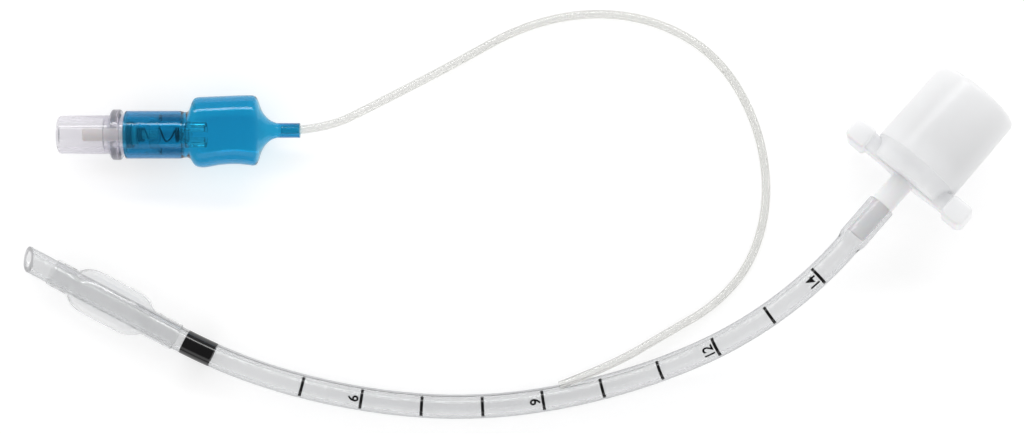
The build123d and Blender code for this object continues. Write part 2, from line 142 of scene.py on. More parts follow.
# Place along the axis, half width, half height and squareness of the hub's sections
HUB_SECTIONS = (
    (5.4, 5.5, 5.2, 3.0),
    (5.47, 5.8, 5.5, 3.0),
    (5.65, 6.05, 5.75, 3.0),
    (6.1, 6.2, 5.9, 3.0),
    (6.9, 6.35, 6.15, 2.8),
    (7.6, 6.65, 6.55, 2.5),
    (8.1, 7.05, 7.0, 2.25),
    (8.45, 7.45, 7.45, 2.0),
    (8.7, 7.55, 7.55, 2.0),
)
ARM_THICKNESS = 3.15
ARM_SETBACK = 0.25
ARM_HEIGHT = 3.8
LUG_SPAN = 24.0
LUG_WIDTH = 3.4
LUG_THICKNESS = 3.9
LUG_HEIGHT = 5.8
LUG_CORNER_R = 1.2
LUG_ROLL = -14.5
LUG_INWARD = 0.6
YOKE_EDGE_R = 0.5
PASSAGE_OVERLAP = 1.0

# Pilot line: the same route as the solid's, in millimetres
LINE_R = 0.7
LINE_BORE_R = 0.35
NOTCH_LENGTH = 9.0
NOTCH_CLEARANCE = 0.02
LINE_POINTS = (
    (-37.92, 18.57, 4.15),
    (-31.02, 18.57, 4.15),
    (-21.92, 23.22, 2.3),
    (-10.12, 29.42, 0.9),
    (1.78, 36.12, 0.72),
    (13.78, 38.42, 0.72),
    (24.98, 36.42, 0.72),
    (34.28, 30.42, 0.72),
    (40.38, 19.92, 0.72),
    (42.28, 7.92, 0.72),
    (39.58, -2.88, 0.72),
    (33.48, -10.08, 0.8),
    (25.18, -14.78, 1.45),
    (16.38, -19.88, 2.75),
    (7.58, -23.23, 3.05),
)

# Valve and balloon, along +X from the mouth of the syringe port
VALVE_MOUTH = Vector((-74.27, 17.87, 4.15))
PORT_MOUTH_R = 3.1
PORT_R = 3.2
PORT_LENGTH = 8.55
LUER_MOUTH_R = 2.135
LUER_END_R = 1.886
LUER_DEPTH = 7.65
COLLAR_START = 8.75
COLLAR_END = 10.35
COLLAR_R = 4.15
COLLAR_FOOT_R = 3.8
WAIST_R = 3.25
BODY_START = 11.05
BODY_END = 16.75
BODY_R = 3.4
CHAMBER_START = 11.35
CHAMBER_R = 2.6
STEM_HOLE_R = 1.45
CAGE_START = 15.15
CAGE_END = 20.35
CAGE_NOSE_R = 2.58
CAGE_BORE_R = 1.5
SPRING_SEAT = 20.25
VENT_R = 0.55
TAIL_BORE_START = 20.95
TAIL_END = 24.15
TAIL_R = 2.15
TAIL_BORE_R = 1.4
SLOT_MIDDLE = 23.05
SLOT_HALF_WIDTH = 0.45
SLOT_REACH = 4
SLEEVE_START = 11.05
SLEEVE_R = 3.92
SLEEVE_END = 19.95
SLEEVE_BORE_R = 3.42
BALLOON_WALL = 0.35
SLEEVE_EDGE = 0.08
# Places between which the bag squares up, and those that its hollow lies between
BAG_SWELLS = (20.95, 23.35)
BAG_CLOSES = (35.75, 32.85)
BAG_HOLLOW = (20.65, 35.25)
BAG_SIDE_SQUARENESS = 0.18
BAG_TOP_SQUARENESS = 0.1
NECK_R_OUT = 1.2
NECK_R_IN = 0.72
NECK_START = 36.25
NECK_END = 39.45
NECK_SHIFT = 0.7
# Place along X, upper outline, lower outline (both from the valve's axis) and half height
BALLOON_OUTLINE = (
    (19.95, 3.92, -3.92, 3.92),
    (20.65, 3.75, -3.75, 3.85),
    (21.25, 3.9, -3.8, 3.8),
    (21.65, 4.7, -4.1, 3.8),
    (21.95, 5.55, -4.6, 3.8),
    (22.35, 6.0, -5.05, 3.8),
    (22.95, 6.15, -5.3, 3.85),
    (23.95, 6.2, -5.35, 3.95),
    (26.35, 6.3, -4.95, 4.0),
    (28.85, 6.4, -4.8, 4.0),
    (30.85, 6.45, -4.95, 3.9),
    (31.85, 6.4, -5.05, 3.7),
    (32.35, 6.1, -4.85, 3.5),
    (32.7, 5.3, -4.1, 3.3),
    (33.05, 4.3, -3.0, 3.0),
    (33.65, 3.3, -1.9, 2.6),
    (34.55, 2.4, -1.0, 1.95),
    (35.55, 1.95, -0.55, 1.4),
    (36.25, 1.9, -0.5, 1.2),
)

# Floor and light, in metres; pairs are the values near the object and far from it. The floor's glow and
# colour are higher near the object: a painted pool of light.
FLOOR_SIZE = 4.0
FLOOR_DROP = 0.00005
PAINTED_POOL_FADE = (0.2, 0.8)
PAINTED_POOL_GLOW = (0.5, 0.28)
PAINTED_POOL_TONE = (0.62, 0.45)
HORIZON = 0.34
ZENITH = 0.09
SKY_BAND = (0.15, 0.8)
AMBIENT = 0.68
LIGHT_TARGET = (0, 0, 0)
# Name, place, size and power of each softbox
SOFTBOXES = (
    ("strip", (0.0, 0.47, 0.37), (0.8, 0.09), 1.5),
    ("fill", (0.0, -0.5, 0.3), (0.8, 0.25), 0.5),
)


# Meshes
def make_object(name, verts, faces, uvs=None):
    """Object of a mesh given in millimetres, smooth but for its sharp corners."""
    mesh = bpy.data.meshes.new(name)
    mesh.from_pydata([Vector(v) * MM for v in verts], [], faces)
    if uvs:
        layer = mesh.uv_layers.new(name="UVMap")
        for loop in mesh.loops:
            layer.data[loop.index].uv = uvs[loop.vertex_index]
    obj = bpy.data.objects.new(name, mesh)
    scene.collection.objects.link(obj)
    smooth(obj)
    return obj


def smooth(obj, angle=35):
    obj.data.shade_smooth()
    obj.data.set_sharp_from_angle(angle=radians(angle))


def skin(name, rings, marks=None):
    """Closed skin over rings of points, the last of them joined to the first."""
    count = len(rings[0])
    verts = [point for ring in rings for point in ring]
    faces = []
    for i in range(len(rings)):
        here, after = i * count, (i + 1) % len(rings) * count
        for j in range(count):
            k = (j + 1) % count
            faces.append((here + j, here + k, after + k, after + j))
    marks = marks or list(range(len(rings)))
    uvs = [(j / count, marks[i]) for i in range(len(rings)) for j in range(count)]
    obj = make_object(name, verts, faces, uvs)
    outward(obj)
    return obj


def outward(obj):
    form = bmesh.new()
    form.from_mesh(obj.data)
    bmesh.ops.recalc_face_normals(form, faces=form.faces)
    form.to_mesh(obj.data)
    form.free()


def ring(place, radius, sides, shift=(0, 0)):
    """Circle of points about a place, given as its centre, its left and its up direction."""
    centre, left, up = place
    turns = [2 * pi * j / sides for j in range(sides)]
    return [
        centre + left * (shift[0] + radius * cos(turn)) + up * (shift[1] + radius * sin(turn))
        for turn in turns
    ]


def cut(obj, cutter, operation="DIFFERENCE"):
    """Applies a boolean with another object, which is then removed."""
    modifier = obj.modifiers.new("cut", "BOOLEAN")
    modifier.operation = operation
    modifier.solver = "EXACT"
    modifier.object = cutter
    depsgraph = bpy.context.evaluated_depsgraph_get()
    mesh = bpy.data.meshes.new_from_object(obj.evaluated_get(depsgraph))
    obj.modifiers.clear()
    obj.data = mesh
    bpy.data.objects.remove(cutter)
    smooth(obj)


def rounded(corners, steps=5):
    """Closed outline of points (x, y, radius), with an arc at each corner that has a radius."""
    outline = []
    for i, (x, y, radius) in enumerate(corners):
        corner = Vector((x, y))
        if not radius:
            outline.append(corner)
            continue
        before = (Vector(corners[i - 1][:2]) - corner).normalized()
        after = (Vector(corners[(i + 1) % len(corners)][:2]) - corner).normalized()
        half = before.angle(after) / 2
        middle = corner + (before + after).normalized() * (radius / sin(half))
        start = corner + before * (radius / tan(half)) - middle
        end = corner + after * (radius / tan(half)) - middle
        turn = atan2(start.x * end.y - start.y * end.x, start.dot(end))
        base = atan2(start.y, start.x)
        for step in range(steps + 1):
            angle = base + turn * step / steps
            outline.append(middle + Vector((cos(angle), sin(angle))) * radius)
    return outline


def turned(name, origin, axis, side, outline, sides=96):
    """Solid of revolution of a closed outline of (place along the axis, radius)."""
    up = axis.cross(side)
    rings = [ring((origin + axis * point.x, side, up), point.y, sides) for point in outline]
    return skin(name, rings)


def block(name, outline, place, height, edge, segments=3):
    """Outline in a plane (origin, x and y direction), made height thick both ways, edges rounded."""
    origin, across, along = place
    normal = across.cross(along)
    count = len(outline)
    verts = [
        origin + across * point.x + along * point.y + normal * side * height
        for side in (-1, 1)
        for point in outline
    ]
    faces = [tuple(range(count - 1, -1, -1)), tuple(range(count, 2 * count))]
    faces += [(j, (j + 1) % count, count + (j + 1) % count, count + j) for j in range(count)]
    obj = make_object(name, verts, faces)
    form = bmesh.new()
    form.from_mesh(obj.data)
    bmesh.ops.recalc_face_normals(form, faces=form.faces)
    sharp = [e for e in form.edges if e.calc_face_angle(0) > radians(40)]
    bmesh.ops.bevel(form, geom=sharp, offset=edge * MM, segments=segments, profile=0.5, affect="EDGES")
    form.to_mesh(obj.data)
    form.free()
    smooth(obj)
    return obj


# Camera
camera_data = bpy.data.cameras.new("camera")
camera_data.sensor_width = SENSOR_WIDTH
camera_data.lens = LENS
camera_data.clip_start = 0.01
camera_data.clip_end = 20
camera = bpy.data.objects.new("camera", camera_data)
camera.location = Vector(CAMERA) * MM
scene.collection.objects.link(camera)
scene.camera = camera


# Pilot line
route_data = bpy.data.curves.new("route", "CURVE")
route_data.dimensions = "3D"
route_data.resolution_u = 12
route = route_data.splines.new("NURBS")
route.points.add(len(LINE_POINTS) - 1)
for point, place in zip(route.points, LINE_POINTS):
    point.co = (*(Vector(place) * MM), 1)
route.order_u = 3
route.use_endpoint_u = True
route_object = bpy.data.objects.new("route", route_data)
scene.collection.objects.link(route_object)
route_mesh = bpy.data.meshes.new_from_object(route_object)
line_path = [vertex.co / MM for vertex in route_mesh.vertices]
bpy.data.objects.remove(route_object)


def path_places(path):
    """Centre, left and up direction at each point of a path."""
    places = []
    for i, centre in enumerate(path):
        direction = (path[min(i + 1, len(path) - 1)] - path[max(i - 1, 0)]).normalized()
        left = UP.cross(direction).normalized()
        places.append((centre, left, direction.cross(left)))
    return places


def hollow(name, places, outside, inside, sides, marks):
    """Hollow tube along places, with a radius for each on both sides of its wall."""
    rings = [ring(place, radius, sides) for place, radius in zip(places, outside)]
    rings += [ring(place, radius, sides) for place, radius in zip(places[::-1], inside[::-1])]
    return skin(name, rings, [*marks, *marks[::-1]])


line_places = path_places(line_path)
line_marks = [0.0]
for one, other in zip(line_path, line_path[1:]):
    line_marks.append(line_marks[-1] + (other - one).length)
count = len(line_path)
pilot_line = hollow("pilot_line", line_places, [LINE_R] * count, [LINE_BORE_R] * count, 32, line_marks)


# Tube
def arc_share(length, turn):
    half = radians(turn) / 2
    return length * tan(half) / half / 2


def two_arc_rises(bends, start_slope, end_slope, rise):
    first, second = (arc_share(length, turn) for length, turn in bends)
    middle_slope = (rise - first * start_slope - second * end_slope) / (first + second)
    return first * (start_slope + middle_slope), second * (middle_slope + end_slope)


cone_axis_z = CONE_BASE_R + CONE_SLOPE * (END_STRAIGHT + NECK_LENGTH + HUB_THICKNESS)
descent = two_arc_rises(CUFF_DESCENT_BENDS, 0, 0, TUBE_R - TIP.z)
climb = two_arc_rises(CONNECTOR_RISE_BENDS, 0, -CONE_SLOPE, cone_axis_z - TUBE_R)
heading = radians(TIP_HEADING)
tip_direction = Vector((cos(heading), sin(heading), 0))
start = TIP - tip_direction * BEVEL_REACH
direction = tip_direction
# Each run of the tube: start, direction, side it turns to, radius (0 on a straight) and length
tube_runs = [(start, direction, UP, 0, BEVEL_REACH + TIP_STRAIGHT)]
start = TIP + tip_direction * TIP_STRAIGHT
bends = (*CUFF_DESCENT_BENDS, TABLE_BEND, *CONNECTOR_RISE_BENDS)
for (length, turn), rise in zip(bends, (*descent, 0, *climb)):
    half = radians(turn) / 2
    chord = length * sin(half) / half
    end = start + Vector((chord * cos(heading + half), chord * sin(heading + half), rise))
    reach = end - start
    ahead = reach.dot(direction)
    aside = reach - direction * ahead
    radius = reach.length_squared / (2 * aside.length)
    angle = 2 * atan2(aside.length, ahead)
    side = aside.normalized()
    tube_runs.append((start, direction, side, radius, radius * angle))
    direction = direction * cos(angle) + side * sin(angle)
    start = end
    heading += 2 * half
tube_runs.append((start, direction, UP, 0, END_STRAIGHT))
tube_end = start + direction * END_STRAIGHT
end_direction = direction
tube_length = sum(run[4] for run in tube_runs) - BEVEL_REACH


def tube_place(distance):
    """Centre, left and up direction of the tube at a distance from the bevel's centre."""
    left_over = distance + BEVEL_REACH
    for start, direction, side, radius, length in tube_runs:
        if left_over <= length or (start, direction) == tube_runs[-1][:2]:
            break
        left_over -= length
    turn = left_over / radius if radius else 0
    centre = start + direction * left_over
    if radius:
        centre = start + direction * (radius * sin(turn)) + side * (radius * (1 - cos(turn)))
    along = direction * cos(turn) + side * sin(turn)
    left = UP.cross(along).normalized()
    return centre, left, along.cross(left)


def ease(low, high, value):
    share = min(max((value - low) / (high - low), 0), 1)
    return share * share * (3 - 2 * share)


def spread(start, end, step):
    count = max(1, ceil((end - start) / step))
    return [start + (end - start) * i / count for i in range(count + 1)]


flare_start = tube_length - FLARE_LENGTH - FLARE_BLEND
socket_start = tube_length - SPIGOT_LENGTH - FLARE_BLEND
tube_marks = [
    *spread(-BEVEL_REACH, flare_start, TUBE_STEP),
    *spread(flare_start + 0.1, tube_length - 0.25, FLARE_STEP),
    tube_length - 0.12,
    tube_length,
]
outside = [
    TUBE_R
    + (FLARE_R - TUBE_R) * ease(flare_start, flare_start + FLARE_BLEND, mark)
    - TUBE_END_DROP * max(0, (mark - tube_length + TUBE_END_ROUND) / TUBE_END_ROUND) ** 2
    for mark in tube_marks
]
inside = [
    TUBE_BORE_R + (SOCKET_R - TUBE_BORE_R) * ease(socket_start, socket_start + FLARE_BLEND, mark)
    for mark in tube_marks
]
tube = hollow("tube", [tube_place(mark) for mark in tube_marks], outside, inside, TUBE_SIDES, tube_marks)

# Bevel at the tip, with a rounded rim
bevel_side = UP * cos(radians(BEVEL_TURN)) - UP.cross(tip_direction) * sin(radians(BEVEL_TURN))
bevel_normal = bevel_side * cos(radians(BEVEL_ANGLE)) - tip_direction * sin(radians(BEVEL_ANGLE))
form = bmesh.new()
form.from_mesh(tube.data)
bmesh.ops.bisect_plane(
    form,
    geom=[*form.verts, *form.edges, *form.faces],
    dist=1e-7,
    plane_co=TIP * MM,
    plane_no=bevel_normal,
    clear_outer=True,
)
open_edges = [edge for edge in form.edges if edge.is_boundary]
bmesh.ops.bridge_loops(form, edges=open_edges)
bmesh.ops.recalc_face_normals(form, faces=form.faces)
rim = [
    edge
    for edge in form.edges
    if edge.calc_face_angle(0) > radians(BEVEL_RIM_ANGLE)
    and (edge.verts[0].co / MM - TIP).length < TIP_REACH
]
bmesh.ops.bevel(form, geom=rim, offset=BEVEL_EDGE_R * MM, segments=4, profile=0.5, affect="EDGES")
form.to_mesh(tube.data)
form.free()

# Inflation channel in the wall, and the notch that the pilot line is bonded in
lumen_shift = (
    (TUBE_R + TUBE_BORE_R) / 2 * cos(radians(LUMEN_SIDE_ANGLE)),
    (TUBE_R + TUBE_BORE_R) / 2 * sin(radians(LUMEN_SIDE_ANGLE)),
)


def rod(name, rings):
    """Closed rod over rings of points, with a flat cap at both ends."""
    count = len(rings[0])
    obj = skin(name, rings)
    form = bmesh.new()
    form.from_mesh(obj.data)
    form.faces.ensure_lookup_table()
    bmesh.ops.delete(form, geom=form.faces[-count:], context="FACES_ONLY")
    bmesh.ops.holes_fill(form, edges=[edge for edge in form.edges if edge.is_boundary], sides=0)
    bmesh.ops.recalc_face_normals(form, faces=form.faces)
    form.to_mesh(obj.data)
    form.free()
    return obj


lumen_marks = spread(LUMEN_START, LUMEN_END, LUMEN_STEP)
channel = rod("channel", [ring(tube_place(mark), LUMEN_R, 12, lumen_shift) for mark in lumen_marks])
cut(tube, channel)
notch_places = [
    place for place, mark in zip(line_places, line_marks) if mark > line_marks[-1] - NOTCH_LENGTH
]
notch = rod("notch", [ring(place, LINE_R + NOTCH_CLEARANCE, 32) for place in notch_places])
cut(tube, notch)


# Printed marks
def wrap(obj, distance, lift):
    """Lays a flat mesh (x along the tube, y round it, in millimetres) on the tube from a distance on."""
    for vertex in obj.data.vertices:
        along, round_, height = vertex.co
        centre, left, up = tube_place(distance + along)
        angle = round_ / TUBE_R
        vertex.co = (centre + (left * sin(angle) + up * cos(angle)) * (lift + height)) * MM


def strip(name, distance, width, arc):
    """Strip of ink round the tube over an arc in degrees."""
    half = radians(arc) / 2
    inner, outer = TUBE_R, INK_R
    along = spread(distance, distance + width, 0.5)
    turns = spread(-half, half, radians(5))
    verts, uvs = [], []
    for mark in along:
        centre, left, up = tube_place(mark)
        for radius in (inner, outer):
            for turn in turns:
                verts.append(centre + (left * sin(turn) + up * cos(turn)) * radius)
                uvs.append((turn / pi, mark))
    n = len(turns)
    faces = []
    for i in range(len(along) - 1):
        a, b = 2 * n * i, 2 * n * (i + 1)
        for j in range(n - 1):
            faces.append((a + n + j, a + n + j + 1, b + n + j + 1, b + n + j))
            faces.append((a + j, b + j, b + j + 1, a + j + 1))
        faces.append((a, a + n, b + n, b))
        faces.append((a + n - 1, b + n - 1, b + 2 * n - 1, a + 2 * n - 1))
    for a, flip in ((0, False), (2 * n * (len(along) - 1), True)):
        for j in range(n - 1):
            face = (a + j, a + j + 1, a + n + j + 1, a + n + j)
            faces.append(face[::-1] if flip else face)
    obj = make_object(name, verts, faces, uvs)
    outward(obj)
    return obj


def numeral(number, distance):
    """Depth numeral beside its tick: it reads across the tube, its top towards the tip."""
    text = bpy.data.curves.new("numeral", "FONT")
    text.body = str(number)
    text.size = NUMBER_HEIGHT / DIGIT_SHARE
    text.space_character = 0.95
    text.resolution_u = 4
    text.offset = NUMBER_BOLDNESS
    text_object = bpy.data.objects.new("numeral", text)
    scene.collection.objects.link(text_object)
    flat = bpy.data.meshes.new_from_object(text_object)
    bpy.data.objects.remove(text_object)
    form = bmesh.new()
    form.from_mesh(flat)
    bmesh.ops.remove_doubles(form, verts=form.verts, dist=1e-4)
    low = min(v.co.x for v in form.verts)
    high = max(v.co.x for v in form.verts)
    for x in spread(low, high, NUMBER_SLICE)[1:-1]:
        bmesh.ops.bisect_plane(
            form, geom=[*form.verts, *form.edges, *form.faces], plane_co=(x, 0, 0), plane_no=(1, 0, 0)
        )
    for vertex in form.verts:
        x, y, _ = vertex.co
        vertex.co = (-y, (x - (low + high) / 2) * NUMBER_SQUEEZE, 0)
    obj_mesh = bpy.data.meshes.new(f"number_{number}")
    form.to_mesh(obj_mesh)
    form.free()
    obj = bpy.data.objects.new(f"number_{number}", obj_mesh)
    scene.collection.objects.link(obj)
    wrap(obj, distance, INK_R)
    obj.data.shade_smooth()
    return obj


ink = [strip("band", BAND_START, BAND_LENGTH, BAND_ARC)]
for tick in TICKS:
    tick_start = TICK_ZERO + TICK_PITCH * tick - TICK_WIDTH / 2
    ink.append(strip(f"tick_{tick}", tick_start, TICK_WIDTH, TICK_ARC))
numbers = [numeral(tick, TICK_ZERO + TICK_PITCH * tick - NUMBER_GAP) for tick in NUMBERED_TICKS]


# Cuff
def glue(mark, turn):
    """Small swells of glue near the ends of the cuff's sleeves."""
    near = max(ease(outer, inner, abs(mark - spot)) * share for spot, outer, inner, share in GLUE_SPOTS)
    point = Vector((mark * 2.2, cos(turn) * 2.6, sin(turn) * 2.6))
    return near * GLUE_HEIGHT * max(0, noise.noise(point) + 0.15)


def foot_blend(rise):
    """How far the bulge's foot runs out along the tube at a rise above its sleeve."""
    return CUFF_FOOT * (1 - sqrt(min(rise / CUFF_FOOT_RISE, 1))) ** 2


def shoulder_points(edge, way, inset, foot):
    """One shoulder of the bulge from its foot up; way is 1 at the tip's end and -1 at the other."""
    points = []
    for step in range(SHOULDER_STEPS + 1):
        turn = pi / 2 * step / SHOULDER_STEPS
        rise = (CUFF_R - inset - foot) * sin(turn)
        inward = inset + (CUFF_SHOULDER - inset) * (1 - cos(turn)) - foot_blend(rise)
        points.append((edge + way * inward, foot + rise))
    return points


bulge_start, bulge_end = CUFF_BULGE
sleeve_start, sleeve_end = CUFF_SLEEVE
cuff_points = []
for inset, foot in ((0, CUFF_SLEEVE_R), (CUFF_WALL, CUFF_SEAT_R)):
    flat = spread(bulge_start + CUFF_SHOULDER + 0.5, bulge_end - CUFF_SHOULDER - 0.5, 0.6)
    cuff_points.append([
        *shoulder_points(bulge_start, 1, inset, foot),
        *((mark, CUFF_R - inset) for mark in flat),
        *shoulder_points(bulge_end, -1, inset, foot)[::-1],
    ])
before = [(mark, CUFF_SLEEVE_R) for mark in spread(sleeve_start + 0.1, bulge_start - CUFF_FOOT - 0.1, 0.12)]
after = [(mark, CUFF_SLEEVE_R) for mark in spread(bulge_end + CUFF_FOOT + 0.1, sleeve_end - 0.1, 0.12)]
outer_profile = [
    (sleeve_start, CUFF_SLEEVE_R - CUFF_SLEEVE_EDGE),
    *before,
    *cuff_points[0],
    *after,
    (sleeve_end, CUFF_SLEEVE_R - CUFF_SLEEVE_EDGE),
]
inner_profile = [(sleeve_start, CUFF_SEAT_R), *cuff_points[1], (sleeve_end, CUFF_SEAT_R)]
cuff_rings, cuff_marks = [], []
for mark, radius in outer_profile:
    centre, left, up = tube_place(mark)
    points = []
    for j in range(CUFF_SIDES):
        turn = 2 * pi * j / CUFF_SIDES
        swell = glue(mark, turn) if radius < CUFF_SLEEVE_R + 0.01 else 0
        points.append(centre + (left * cos(turn) + up * sin(turn)) * (radius + swell))
    cuff_rings.append(points)
    cuff_marks.append(mark)
for mark, radius in inner_profile[::-1]:
    cuff_rings.append(ring(tube_place(mark), radius, CUFF_SIDES))
    cuff_marks.append(mark)
cuff = skin("inflated_cuff", cuff_rings, cuff_marks)


# Connector
across = end_direction.cross(UP).normalized()
upward = across.cross(end_direction)
lug_line = Matrix.Rotation(radians(LUG_ROLL), 3, end_direction) @ across
lug_up = lug_line.cross(end_direction)
cone_start = NECK_LENGTH + HUB_THICKNESS
cone_end = cone_start + CONE_LENGTH
rim_r = CONE_BASE_R - CONE_SLOPE * CONE_LENGTH
connector = turned(
    "breathing_connector",
    tube_end,
    end_direction,
    across,
    rounded(
        (
            (-SPIGOT_LENGTH, SPIGOT_BORE_R, 0.1),
            (-SPIGOT_LENGTH, SPIGOT_R, 0.1),
            (0, SPIGOT_R, 0),
            (0, NECK_R, 0.15),
            (cone_start - CUP_FOOT, NECK_R, 0),
            (cone_start - CUP_FOOT, CUP_FOOT_R, 0.5),
            (cone_start, CONE_BASE_R - CONE_EDGE, 0.2),
            (cone_start, CONE_BASE_R, 0.2),
            (cone_end, rim_r, 1.0),
            (cone_end, rim_r - CONE_WALL, 0.25),
            (cone_start + CONE_FLOOR, rim_r - CONE_WALL, 0.6),
            (cone_start + CONE_FLOOR - FUNNEL_DEPTH, SPIGOT_BORE_R, 0.4),
        )
    ),
    128,
)
arm_reach = (LUG_SPAN - LUG_WIDTH) / 2


def hub_ring(mark, half_width, half_height, power, sides=96):
    """Section of the hub: an ellipse squared up by a power above 2."""
    points = []
    for j in range(sides):
        turn = 2 * pi * j / sides
        c, s = cos(turn), sin(turn)
        x = half_width * abs(c) ** (2 / power) * (1 if c > 0 else -1)
        y = half_height * abs(s) ** (2 / power) * (1 if s > 0 else -1)
        points.append(tube_end + end_direction * mark + lug_line * x + lug_up * y)
    return points


hub = rod("hub", [hub_ring(*section) for section in HUB_SECTIONS])
smooth(hub)
arm_profile = rounded(
    (
        (-arm_reach, cone_start - ARM_SETBACK - ARM_THICKNESS, 0),
        (arm_reach, cone_start - ARM_SETBACK - ARM_THICKNESS, 0),
        (arm_reach, cone_start - ARM_SETBACK, 0),
        (-arm_reach, cone_start - ARM_SETBACK, 0),
    )
)
yoke_place = (tube_end, lug_line, end_direction)
arms = block("arms", arm_profile, yoke_place, ARM_HEIGHT / 2, YOKE_EDGE_R)
lugs = []
for side in (-1, 1):
    near, far = arm_reach - LUG_WIDTH / 2 - LUG_INWARD, arm_reach + LUG_WIDTH / 2
    corners = (
        (side * near, cone_start - LUG_THICKNESS, LUG_CORNER_R * 0.7),
        (side * far, cone_start - LUG_THICKNESS, LUG_CORNER_R),
        (side * far, cone_start, LUG_CORNER_R * 0.7),
        (side * near, cone_start, LUG_CORNER_R * 0.6),
    )
    lugs.append(block("lug", rounded(corners), yoke_place, LUG_HEIGHT / 2, YOKE_EDGE_R))
yoke = hub
for piece in (arms, *lugs):
    cut(yoke, piece, "UNION")
passage = rod(
    "passage",
    [
        ring((tube_end + end_direction * mark, across, upward), radius, 64)
        for mark, radius in (
            (NECK_LENGTH - PASSAGE_OVERLAP, SPIGOT_BORE_R),
            (cone_start + CONE_FLOOR - FUNNEL_DEPTH, SPIGOT_BORE_R),
            (cone_start + CONE_FLOOR, rim_r - CONE_WALL),
            (cone_start + CONE_FLOOR + PASSAGE_OVERLAP, rim_r - CONE_WALL),
        )
    ],
)
cut(yoke, passage)
cut(connector, yoke, "UNION")


# Valve
port = turned(
    "syringe_port",
    VALVE_MOUTH,
    ALONG_X,
    SIDE_Y,
    rounded(
        (
            (0, LUER_MOUTH_R, 0.15),
            (0, PORT_MOUTH_R, 0.6),
            (PORT_LENGTH, PORT_R, 0.2),
            (COLLAR_START, COLLAR_FOOT_R, 0.15),
            (COLLAR_START, COLLAR_R, 0.35),
            (COLLAR_END, COLLAR_R, 0.35),
            (COLLAR_END, WAIST_R, 0.15),
            (BODY_START, WAIST_R, 0),
            (BODY_START, BODY_R, 0.1),
            (BODY_END, BODY_R, 0.05),
            (BODY_END, CHAMBER_R, 0.05),
            (CHAMBER_START, CHAMBER_R, 0.2),
            (CHAMBER_START, STEM_HOLE_R, 0.1),
            (LUER_DEPTH, STEM_HOLE_R, 0.1),
            (LUER_DEPTH, LUER_END_R, 0.15),
        )
    ),
)
cage = turned(
    "spring_cage",
    VALVE_MOUTH,
    ALONG_X,
    SIDE_Y,
    rounded(
        (
            (CAGE_START, CAGE_BORE_R, 0.1),
            (CAGE_START, CAGE_NOSE_R, 0.1),
            (BODY_END, CAGE_NOSE_R, 0),
            (BODY_END, BODY_R, 0.1),
            (CAGE_END, BODY_R, 0.3),
            (CAGE_END, TAIL_R, 0.2),
            (TAIL_END, TAIL_R, 0.25),
            (TAIL_END, TAIL_BORE_R, 0.1),
            (TAIL_BORE_START, TAIL_BORE_R, 0.1),
            (TAIL_BORE_START, VENT_R, 0),
            (SPRING_SEAT, VENT_R, 0),
            (SPRING_SEAT, CAGE_BORE_R, 0.1),
        )
    ),
)
tail_place = (VALVE_MOUTH + ALONG_X * SLOT_MIDDLE, ALONG_X, SIDE_Y)
for half_y, half_z in ((SLOT_HALF_WIDTH, SLOT_REACH), (SLOT_REACH, SLOT_HALF_WIDTH)):
    slot_outline = rounded(((-1.5, -half_y, 0), (2, -half_y, 0), (2, half_y, 0), (-1.5, half_y, 0)))
    cut(cage, block("tail_slot", slot_outline, tail_place, half_z, 0.02, 1))


# Balloon
def outline_at(place):
    """Upper and lower outline and half height of the bag, on a smooth curve through its table."""
    rows = BALLOON_OUTLINE
    i = max(k for k in range(len(rows) - 1) if rows[k][0] <= place or k == 0)
    x0, x1 = rows[i][0], rows[i + 1][0]
    share = min(max((place - x0) / (x1 - x0), 0), 1)
    values = []
    for column in (1, 2, 3):
        slopes = []
        for k in (i, i + 1):
            low, high = rows[max(k - 1, 0)], rows[min(k + 1, len(rows) - 1)]
            slopes.append((high[column] - low[column]) / (high[0] - low[0]) * (x1 - x0))
        a, b = rows[i][column], rows[i + 1][column]
        values.append(
            a * (1 + 2 * share) * (1 - share) ** 2
            + slopes[0] * share * (1 - share) ** 2
            + b * share**2 * (3 - 2 * share)
            - slopes[1] * share**2 * (1 - share)
        )
    return values


def bag_ring(place, inset, sides=96):
    top, bottom, half_height = outline_at(place)
    half = (top - bottom) / 2 - inset
    middle = (top + bottom) / 2
    height = half_height - inset
    full = ease(*BAG_SWELLS, place) * ease(*BAG_CLOSES, place)
    side_power = 1 - BAG_SIDE_SQUARENESS * full
    top_power = 1 - BAG_TOP_SQUARENESS * full
    points = []
    for j in range(sides):
        turn = 2 * pi * j / sides
        c, s = cos(turn), sin(turn)
        y = middle + half * abs(c) ** side_power * (1 if c > 0 else -1)
        z = height * abs(s) ** top_power * (1 if s > 0 else -1)
        points.append(VALVE_MOUTH + Vector((place, y, z)))
    return points


def valve_place(place):
    """Centre, left and up direction at a place along the valve."""
    return VALVE_MOUTH + ALONG_X * place, SIDE_Y, UP


bag_places = spread(SLEEVE_END, NECK_START, 0.1)
sleeve_places = [SLEEVE_START + SLEEVE_EDGE, *spread(SLEEVE_START + 0.3, SLEEVE_END - 0.1, 0.5)]
straight = [valve_place(place) for place in (SLEEVE_START, *sleeve_places)]
neck_places = [valve_place(place) for place in spread(NECK_START + 0.2, NECK_END, 0.4)]
hollow_start, hollow_end = BAG_HOLLOW
hollow_places = [place for place in bag_places if hollow_start < place < hollow_end]
balloon_rings = [ring(straight[0], SLEEVE_R - SLEEVE_EDGE, 96)]
balloon_rings += [ring(place, SLEEVE_R, 96) for place in straight[1:]]
balloon_rings += [bag_ring(place, 0) for place in bag_places]
balloon_rings += [ring(place, NECK_R_OUT, 96, (NECK_SHIFT, 0)) for place in neck_places]
balloon_rings += [ring(place, NECK_R_IN, 96, (NECK_SHIFT, 0)) for place in neck_places[::-1]]
balloon_rings += [bag_ring(place, BALLOON_WALL) for place in hollow_places[::-1]]
balloon_rings += [ring(place, SLEEVE_BORE_R, 96) for place in straight[::-1]]
balloon = skin("balloon_skin", balloon_rings)


